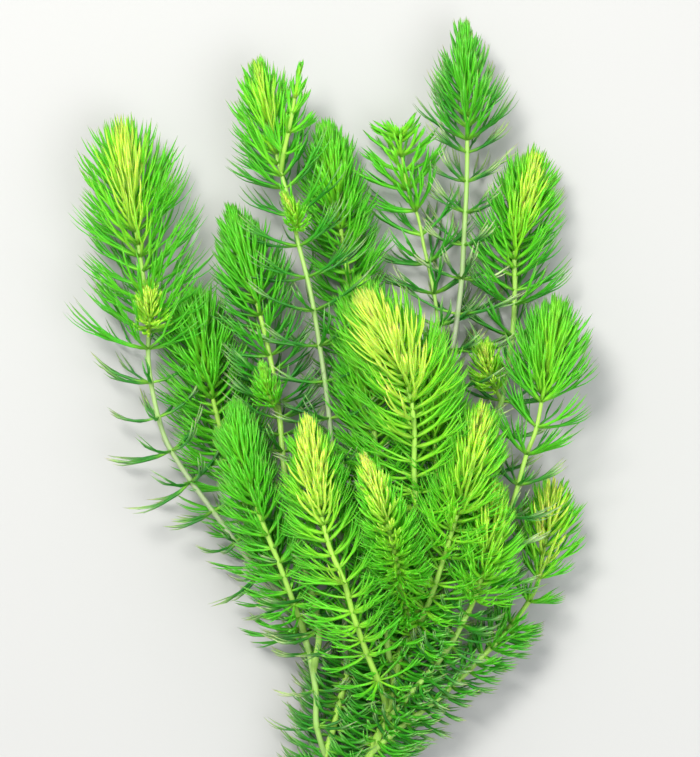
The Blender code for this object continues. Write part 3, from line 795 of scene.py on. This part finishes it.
@dataclass
class Stalk:
    """The smooth stalk of one shoot, swollen at its joints, from its fork to its end."""

    shoot: Shoot
    route: Route
    growth: Growth
    step: float = 1.0 * MM
    swell: float = 0.18
    swell_reach: float = 1.0 * MM
    old_at: float = 120 * MM
    rounding: int = 2
    cut_wall: float = 0.35 * MM
    cut_depth: float = 0.8 * MM
    fewest_marks: int = 8
    merged_below: float = 0.001 * MM
    smooth_below: float = math.radians(50)
    marks: np.ndarray = field(init=False)
    joints: np.ndarray = field(init=False)

    def __post_init__(self) -> None:
        """Set the places of the cross-sections and of the joints."""
        length, past = self.route.length, self.shoot.past_tip * MM
        self.marks = np.linspace(0.0, length, max(self.fewest_marks, int(length / self.step)))
        self.joints = np.array(self.growth.joints(length, past))

    def joint_share(self, marks: np.ndarray) -> np.ndarray:
        """How near each mark is to a joint, from 0 to 1."""
        apart = np.abs(marks[:, None] - self.joints[None, :]).min(axis=1)
        return np.exp(-(apart / self.swell_reach) ** 2)

    def radii(self) -> np.ndarray:
        """The stalk's radius at each mark."""
        from_tip = self.route.length - self.marks + self.shoot.past_tip * MM
        share = self.growth.read(self.growth.stalk, from_tip)
        return self.shoot.radius * MM * share * (1 + self.swell * self.joint_share(self.marks))

    def build(self) -> bpy.types.Object:
        """Model the stalk.

        Returns:
            The finished piece.
        """
        bpy.ops.object.select_all(action="DESELECT")
        bpy.ops.curve.primitive_bezier_curve_add(location=(0, 0, 0))
        tube = bpy.context.object
        tube.name = f"{self.shoot.name}_stalk"
        tube.data.splines.clear()
        spline = tube.data.splines.new("POLY")
        spline.points.add(len(self.marks) - 1)
        places = np.column_stack([self.route.points(self.marks), np.ones(len(self.marks))])
        spline.points.foreach_set("co", places.ravel())
        spline.points.foreach_set("radius", self.radii() / MM)
        tube.data.bevel_depth = MM
        tube.data.bevel_resolution = self.rounding
        tube.data.use_fill_caps = True
        bpy.ops.object.convert(target="MESH")
        tube = bpy.context.object
        tube.data.uv_layers[0].name = "OFBake"
        bpy.ops.object.mode_set(mode="EDIT")
        bpy.ops.mesh.select_all(action="SELECT")
        bpy.ops.mesh.remove_doubles(threshold=self.merged_below)
        bpy.ops.mesh.normals_make_consistent(inside=False)
        if self.shoot.name == "main_stem":
            self._hollow_cut(tube)
        bpy.ops.object.mode_set(mode="OBJECT")
        bpy.ops.object.shade_smooth_by_angle(angle=self.smooth_below)
        self._mark_growth(tube.data)
        nodes = [self.shoot.name]
        if self.shoot.tip and not self.shoot.is_bud:
            nodes.append(self.shoot.name.replace("shoot", "tip"))
        return dress(tube, Finish.PALE_STEM, nodes)

    def _hollow_cut(self, tube: bpy.types.Object) -> None:
        """Sink the middle of the cut foot, as its soft core shrinks back from the rind."""
        bpy.ops.mesh.select_mode(type="FACE")
        bpy.ops.mesh.select_all(action="DESELECT")
        mesh = bmesh.from_edit_mesh(tube.data)
        foot = Vector(self.route.points(np.zeros(1))[0])
        face = min(mesh.faces, key=lambda each: (each.calc_center_median() - foot).length)
        face.select_set(True)
        inwards = -face.normal.normalized() * self.cut_depth
        bmesh.update_edit_mesh(tube.data)
        bpy.ops.mesh.inset(thickness=self.cut_wall)
        bpy.ops.mesh.extrude_region_move(TRANSFORM_OT_translate={"value": inwards})

    def _mark_growth(self, mesh: bpy.types.Mesh) -> None:
        """Hold each vertex's age, its nearness to a joint and whether it is on the cut foot."""
        places = np.empty(len(mesh.vertices) * 3)
        mesh.vertices.foreach_get("co", places)
        places = places.reshape(-1, 3)
        line = self.route.points(self.marks)
        nearest = np.linalg.norm(places[:, None] - line[None], axis=2).argmin(axis=1)
        from_tip = self.route.length - self.marks[nearest] + self.shoot.past_tip * MM
        keep(mesh, "age", np.clip(from_tip / self.old_at, 0, 1) * self.shoot.rind)
        keep(mesh, "joint", self.joint_share(self.marks)[nearest])
        cut = np.zeros(len(places))
        if self.shoot.name == "main_stem":
            inner = np.linalg.norm(places - line[0], axis=1) < self.shoot.radius * MM
            cut = (inner & (nearest <= 1)).astype(float)
        keep(mesh, "cut", cut)


@dataclass
class Foliage:
    """The leaves of one stretch of a shoot, joined in one piece.

    Spreads say by how much chance changes a leaf. The leaves on top of a shoot are lit, and are
    thicker by core_thickness. Their colour holds painted light: they look younger over lit_share
    of its crown, while the others hold painted shade and look older by shade. Form ends are how
    far from the growing tip each form but the last is found. A leaf that would pass through the
    surface sinks over sinking_share of the length that it has left, and turns by laid_ahead
    towards the shoot's own direction. In its UV map, OFBake, each tone has a column of its own
    and age runs upwards.
    """

    shoot: Shoot
    route: Route
    growth: Growth
    node: str
    finish: Finish
    lowest: float
    highest: float
    seed: int
    bend_steps: int = 12
    turn_spread: float = 9.0
    length_spread: float = 0.18
    curl_spread: tuple[float, float] = (0.5, 1.4)
    thick_spread: tuple[float, float] = (0.95, 1.3)
    roll_spread: float = 0.6
    place_spread: float = 1.5 * MM
    form_ends: tuple[float, float, float] = (9 * MM, 24 * MM, 75 * MM)
    form_spread: float = 3.0
    twist: float = 41.0
    open_reach: float = 30 * MM
    foot_depth: float = 0.4
    surface_gap: float = 0.45 * MM
    sinking_share: float = 0.5
    laid_ahead: float = 0.25
    tones: int = 8
    tone_step: int = 5
    shade: float = 0.18
    lit_share: float = 0.60
    lit_power: float = 2.1
    parting_from: float = 34 * MM
    parting_width: float = 0.80
    core_thickness: float = 0.45
    bare_leaves: int = 7
    bare_length: float = 0.80
    short_length: float = 0.66
    bare_age: float = 0.35
    map_column: tuple[float, float] = (0.04, 0.92)
    map_height: tuple[float, float] = (0.02, 0.96)
    map_width: float = 0.004
    map_turn: float = 0.35
    pointed_below: float = 0.05
    same_place: float = 0.001 * MM

    def build(self, leaves: Mapping[LeafForm, LeafMesh]) -> bpy.types.Object:
        """Lay the leaves out and join them.

        Args:
            leaves: The modelled leaf of each form.

        Returns:
            The finished piece.
        """
        rows = self._rows()
        curves = self._curves(rows)
        parts = []
        for number, leaf in enumerate(leaves.values()):
            picked = np.flatnonzero(rows["form"] == number)
            if len(picked):
                parts.append(self._copies(leaf, {key: row[picked] for key, row in rows.items()},
                                          *(curve[:, picked] for curve in curves)))
        return dress(self._join(parts), self.finish, [self.node])

    def _feet(self, chance: np.random.Generator) -> tuple[np.ndarray, np.ndarray, np.ndarray]:
        """Where each leaf grows along the route, the route's direction there, and the way out."""
        length, past = self.route.length, self.shoot.past_tip * MM
        heights, turns = [], []
        for index, at in enumerate(self.growth.whorls(length, past, self.shoot)):
            count = self._leaf_count(length - at + past, at)
            for each in range(count if self.lowest <= at <= self.highest else 0):
                if chance.random() > self.shoot.missing:
                    heights.append(at)
                    turns.append(index * self.twist + 360.0 * each / count)
        at = np.array(heights)
        turn = np.radians(np.array(turns) + chance.uniform(-1, 1, len(at)) * self.turn_spread)
        axis = self.route.axes(at)
        side = unit(np.array((0.0, 0.0, 1.0)) - axis * axis[:, 2:3])
        out = side * np.cos(turn)[:, None] + np.cross(axis, side) * np.sin(turn)[:, None]
        upper = (length - at + past > self.parting_from) & (out[:, 2] > self.parting_width)
        left = ~(upper & (chance.random(len(at)) < self.shoot.parting))
        return at[left], axis[left], out[left]

    def _rows(self) -> dict[str, np.ndarray]:
        """Where each leaf grows, which way it points, how long it is and how it looks."""
        chance = np.random.default_rng(self.seed)
        at, axis, out = self._feet(chance)
        shoot, laws, read, count = self.shoot, self.growth, self.growth.read, len(at)
        length, past = self.route.length, shoot.past_tip * MM
        from_tip = length - at + past
        is_bare = self._is_bare(from_tip)
        lean = read(laws.lean, from_tip)
        lean = lean + chance.uniform(-1, 1, count) * read(laws.lean_spread, from_tip)
        lean = lean + shoot.open * np.clip(1 - from_tip / self.open_reach, 0, 1)
        curl = read(laws.curl, from_tip) * chance.uniform(*self.curl_spread, count)
        reach = read(laws.length, from_tip) * shoot.leaf * MM
        reach = reach * (1 + chance.uniform(-1, 1, count) * self.length_spread)
        reach = reach * (1 + (read(laws.spire, from_tip) - 1) * shoot.spire)
        reach = reach * np.where(is_bare, self.bare_length, 1.0)
        reach = reach * np.where(from_tip > shoot.short * MM, self.short_length, 1.0)
        blurred = at + chance.uniform(-1, 1, count) * self.place_spread
        blurred = np.clip(blurred, self.lowest, self.highest)
        lit = np.clip(out[:, 2], 0, 1) ** self.lit_power
        # Painted light: leaves that face up are coloured as if younger, so they stay yellow longer.
        grown_for_with_painted_light = length - blurred + past - lit * self.lit_share * shoot.tip * MM
        maturity = read(laws.maturity, grown_for_with_painted_light)
        age = shoot.young + (shoot.old - shoot.young) * maturity
        # Painted shade: leaves at the crown's sides and back are coloured as if older, so darker
        # green.
        age = age + (1 - lit) * (self.shade + shoot.core * (1 - maturity))
        age = age + is_bare * self.bare_age
        stalk = shoot.radius * MM * read(laws.stalk, from_tip)
        thick = chance.uniform(*self.thick_spread, count) * shoot.thick
        return {
            "foot": self.route.points(at) + out * (stalk * self.foot_depth)[:, None],
            "axis": axis, "out": out, "lean": np.radians(lean), "curl": np.radians(curl),
            "length": reach,
            "thick": thick * (1 + self.core_thickness * lit * (1 - maturity)),
            "roll": chance.uniform(-self.roll_spread, self.roll_spread, count),
            "age": age, "level": (age - age.min()) / np.ptp(age),
            "tone": np.arange(count) * self.tone_step % self.tones,
            "form": self._forms(from_tip, chance),
        }

    def _is_bare(self, from_tip: np.ndarray | float) -> np.ndarray:
        """Whether each place is on the stretch of the shoot that is almost leafless."""
        low, high = self.shoot.bare
        return (np.asarray(from_tip) > low * MM) & (np.asarray(from_tip) < high * MM)

    def _leaf_count(self, from_tip: float, at: float) -> int:
        """How many leaves the whorl at a distance from the tip has."""
        if not self._is_bare(from_tip):
            return int(round(float(self.growth.read(self.growth.leaves, from_tip))))
        joints = self.growth.joints(self.route.length, self.shoot.past_tip * MM)
        is_joint = min(abs(at - joint) for joint in joints) < self.same_place
        return self.bare_leaves if is_joint else 0

    def _forms(self, from_tip: np.ndarray, chance: np.random.Generator) -> np.ndarray:
        """Which form each leaf has, by its distance from the growing tip."""
        spread = chance.uniform(-self.form_spread, self.form_spread, len(from_tip)) * MM
        return np.digitize(from_tip + spread, self.form_ends)

    def _curves(self, rows: Mapping[str, np.ndarray]) -> tuple[np.ndarray, ...]:
        """The middle line of each leaf, bent clear of the surface, and its three directions."""
        at = rows["foot"]
        line = [at]
        step = rows["length"] / self.bend_steps
        for index in range(self.bend_steps):
            share = (index + 0.5) / self.bend_steps
            lean = (rows["lean"] + rows["curl"] * (1 - 2 * share))[:, None]
            way = np.cos(lean) * rows["axis"] + np.sin(lean) * rows["out"]
            left = np.maximum(self.sinking_share * rows["length"] * (1 - share), step)
            steepest = np.clip((at[:, 2] - self.surface_gap) / left, 0.0, 1.0)
            flat = unit(way[:, :2] + self.laid_ahead * rows["axis"][:, :2])
            laid = np.column_stack([flat * np.sqrt(1 - steepest**2)[:, None], -steepest])
            way = np.where((way[:, 2] < -steepest)[:, None], laid, way)
            at = at + way * step[:, None]
            line.append(at)
        line = np.array(line)
        way = unit(np.gradient(line, axis=0))
        across = np.cross(rows["axis"], rows["out"])[None]
        outward = unit(np.cross(way, np.broadcast_to(across, way.shape)))
        across = np.cross(outward, way)
        cos, sin = np.cos(rows["roll"])[None, :, None], np.sin(rows["roll"])[None, :, None]
        return line, across * cos + outward * sin, outward * cos - across * sin, way

    def _copies(self, leaf: LeafMesh, rows: Mapping[str, np.ndarray], line: np.ndarray,
                across: np.ndarray, outward: np.ndarray, way: np.ndarray
                ) -> dict[str, np.ndarray]:
        """Copies of one modelled leaf, one bent along each middle line."""
        along = leaf.centres[:, 2]
        place = np.clip(along, 0, 1) * self.bend_steps
        first = np.minimum(place.astype(int), self.bend_steps - 1)
        share = (place - first)[:, None, None]

        def read(samples: np.ndarray) -> np.ndarray:
            """The samples along the line, at each vertex of each leaf."""
            return samples[first] * (1 - share) + samples[first + 1] * share

        middle, side, out, ahead = read(line), read(across), read(outward), read(way)
        reach = rows["length"][None, :, None]
        centre = middle + reach * (leaf.centres[:, 0, None, None] * side
                                   + leaf.centres[:, 1, None, None] * out)
        centre[..., 2] = np.maximum(centre[..., 2], self.surface_gap)
        thick = rows["thick"][None, :, None] * MM
        x, y, z = (leaf.offsets[:, i, None, None] for i in range(3))
        places = centre + thick * (x * side + y * out + z * ahead)
        count = len(rows["age"])
        round_it = leaf.offsets @ np.array((math.cos(self.map_turn), math.sin(self.map_turn), 0.0))
        width = np.linalg.norm(leaf.offsets, axis=1)
        round_it = round_it / np.maximum(width, self.pointed_below)
        margin, column = self.map_column
        lowest, height = self.map_height
        across_map = (rows["tone"][None] + margin + column * along[:, None]) / self.tones
        up_map = lowest + height * rows["level"][None] + self.map_width * round_it[:, None]
        vertices = len(along)
        starts = (np.arange(count) * vertices)[:, None]
        return {
            "places": places.transpose(1, 0, 2).reshape(-1, 3),
            "corners": (starts + leaf.corners[None]).ravel(),
            "sizes": np.tile(leaf.sizes, count),
            "age": np.repeat(rows["age"], vertices),
            "tone": np.repeat(rows["tone"] / (self.tones - 1), vertices),
            "along": np.tile(along, count),
            "map": np.stack([across_map, np.clip(up_map, 0, 1)], axis=-1)
                     .transpose(1, 0, 2).reshape(-1, 2),
        }

    def _join(self, parts: Sequence[Mapping[str, np.ndarray]]) -> bpy.types.Object:
        """One mesh of all the copies."""
        before = np.cumsum([0] + [len(part["places"]) for part in parts])
        corners = np.concatenate([part["corners"] + start for part, start in zip(parts, before)])
        joined = {key: np.concatenate([part[key] for part in parts])
                  for key in ("places", "sizes", "age", "tone", "along", "map")}
        mesh = bpy.data.meshes.new(f"{self.node}_leaves")
        mesh.vertices.add(len(joined["places"]))
        mesh.vertices.foreach_set("co", joined["places"].ravel())
        mesh.loops.add(len(corners))
        mesh.loops.foreach_set("vertex_index", corners.astype(np.int32))
        mesh.polygons.add(len(joined["sizes"]))
        starts = np.concatenate([[0], np.cumsum(joined["sizes"])[:-1]])
        mesh.polygons.foreach_set("loop_start", starts.astype(np.int32))
        mesh.update(calc_edges=True)
        layer = mesh.uv_layers.new(name="OFBake")
        layer.data.foreach_set("uv", joined["map"][corners].ravel().astype(np.float32))
        for name in ("age", "tone", "along"):
            keep(mesh, name, joined[name])
        mesh.shade_smooth()
        mesh.validate()
        piece = bpy.data.objects.new(mesh.name, mesh)
        bpy.context.scene.collection.objects.link(piece)
        return piece


@dataclass
class Hornwort:
    """The whole plant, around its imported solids."""

    nodes: Mapping[str, bpy.types.Object]
    growth: Growth = Growth()
    shoots: tuple[Shoot, ...] = SHOOTS
    foot_ring: int = 5
    foot_corners: int = 30
    bud_start: float = 2.5 * MM

    def shift(self) -> np.ndarray:
        """How far the solids were moved from the routes' own place, in metres.

        The cut foot is a ring of points, and foot_corners of the nearest loose corners hold it.
        """
        mesh = self.nodes["main_stem"].data
        places = np.array([vertex.co for vertex in mesh.vertices])
        places = places[np.argsort(places[:, 1])]
        foot = np.unique(places[:self.foot_corners].round(6), axis=0)
        foot = foot[np.argsort(foot[:, 1])][:self.foot_ring].mean(axis=0)
        return foot - np.array(self.shoots[0].points[0]) * MM

    def stretches(self, shoot: Shoot, route: Route) -> Iterator[tuple[str, Finish, float, float]]:
        """The node, the finish and the limits of each stretch of a shoot that has leaves."""
        start = shoot.start * MM
        split = route.length - shoot.tip * MM
        if shoot.is_bud:
            yield shoot.name, shoot.crown, min(start, self.bud_start), route.length
            return
        yield shoot.name, Finish.GREEN_LEAVES, start, split
        if shoot.tip:
            yield shoot.name.replace("shoot", "tip"), shoot.crown, split, route.length

    def build(self) -> None:
        """Model the leaf forms, then every stalk and every stretch's leaves."""
        leaves = {form: LeafBench(form).take() for form in LeafForm}
        for form, leaf in leaves.items():
            LOG.info("%s leaf: %d faces", form.name.lower(), len(leaf.sizes))
        shift = self.shift()
        LOG.info("the solids lie %s mm from the routes", (shift / MM).round(3))
        seed = 0
        for shoot in self.shoots:
            route = Route(shoot.points, shift)
            Stalk(shoot, route, self.growth).build()
            for node, finish, lowest, highest in self.stretches(shoot, route):
                seed += 1
                Foliage(shoot, route, self.growth, node, finish, lowest, highest,
                        seed).build(leaves)


@dataclass(frozen=True)
class Lamp:
    """A soft square lamp: where it is, what it points at, its size and its power."""

    name: str
    place: Point
    size: float
    power: float
    colour: Colour = (1.0, 1.0, 1.0)

    def build(self, target: Vector) -> None:
        """Hang the lamp and point it at the target."""
        bpy.ops.object.select_all(action="DESELECT")
        bpy.ops.object.light_add(type="AREA", location=self.place)
        lamp = bpy.context.object
        lamp.name = self.name
        lamp.data.size, lamp.data.energy, lamp.data.color = self.size, self.power, self.colour
        lamp.rotation_euler = (target - lamp.location).to_track_quat("-Z", "Y").to_euler()


@dataclass
class Studio:
    """The pale floor, the soft light and the camera that looks straight down."""

    shift: np.ndarray
    floor_side: float = 8.0
    floor_colour: Colour = (0.46, 0.46, 0.45)
    distance: float = 1.3
    middle_height: float = 0.024
    sky: float = 0.6
    sky_colour: Colour = (0.95, 0.97, 1.0)
    sensor: float = 36.0
    sees: tuple[float, float] = (0.05, 20.0)
    lamps: tuple[Lamp, ...] = (
        Lamp("key_lamp", (-0.35, 0.55, 1.30), 0.4, 22.0, (1.0, 0.985, 0.95)),
        Lamp("fill_lamp", (0.55, -0.30, 1.20), 0.9, 8.5, (0.97, 0.985, 1.0)),
        Lamp("back_lamp", (0.1, 1.2, 0.5), 0.6, 4.0),
    )

    def build(self) -> None:
        """Set up the floor, the light and the camera."""
        self._floor()
        self._sky()
        middle = Vector((0.0, 0.0, self.middle_height))
        for lamp in self.lamps:
            lamp.build(middle)
        self._camera()
        bpy.context.scene.view_settings.view_transform = "Standard"

    def _floor(self) -> None:
        """A plain pale floor that the plant lies on."""
        bpy.ops.object.select_all(action="DESELECT")
        bpy.ops.mesh.primitive_plane_add(size=self.floor_side, location=(0, 0, 0))
        floor = bpy.context.object
        floor.name = "floor"
        graph = Graph("pale_floor")
        place = graph.node("ShaderNodeTexCoord", {}).outputs["Object"]
        grain = graph.noise(place, 900.0)
        graph.feed(graph.shader.inputs["Base Color"], (*self.floor_colour, 1.0))
        graph.feed(graph.shader.inputs["Roughness"], grain * 0.2 + 0.6)
        floor.data.materials.append(graph.material)

    def _sky(self) -> None:
        """An even pale light from all round."""
        world = bpy.data.worlds.new("soft_sky")
        world.use_nodes = True
        sky = world.node_tree.nodes["Background"]
        sky.inputs["Color"].default_value = (*self.sky_colour, 1.0)
        sky.inputs["Strength"].default_value = self.sky
        bpy.context.scene.world = world

    def _camera(self) -> None:
        """A camera straight above, framing what the photograph frames."""
        wide, high = FRAME_PIXELS
        middle = np.array((wide / 2 - FOOT_PIXEL[0], FOOT_PIXEL[1] - high / 2)) * PIXEL
        middle = middle + self.shift[:2]
        bpy.ops.object.camera_add(location=(*middle, self.middle_height + self.distance),
                                  rotation=(0, 0, 0))
        camera = bpy.context.object
        camera.name = "camera"
        camera.data.sensor_width = self.sensor
        camera.data.lens = self.sensor * self.distance / (high * PIXEL)
        camera.data.clip_start, camera.data.clip_end = self.sees
        bpy.context.scene.camera = camera


def main() -> None:
    """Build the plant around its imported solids, then the studio."""
    logging.basicConfig(level=logging.INFO, format="%(name)s: %(message)s")
    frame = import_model()
    plant = Hornwort(frame["nodes"])
    plant.build()
    Studio(plant.shift()).build()
    bpy.context.view_layer.update()


if __name__ == "__main__":
    main()
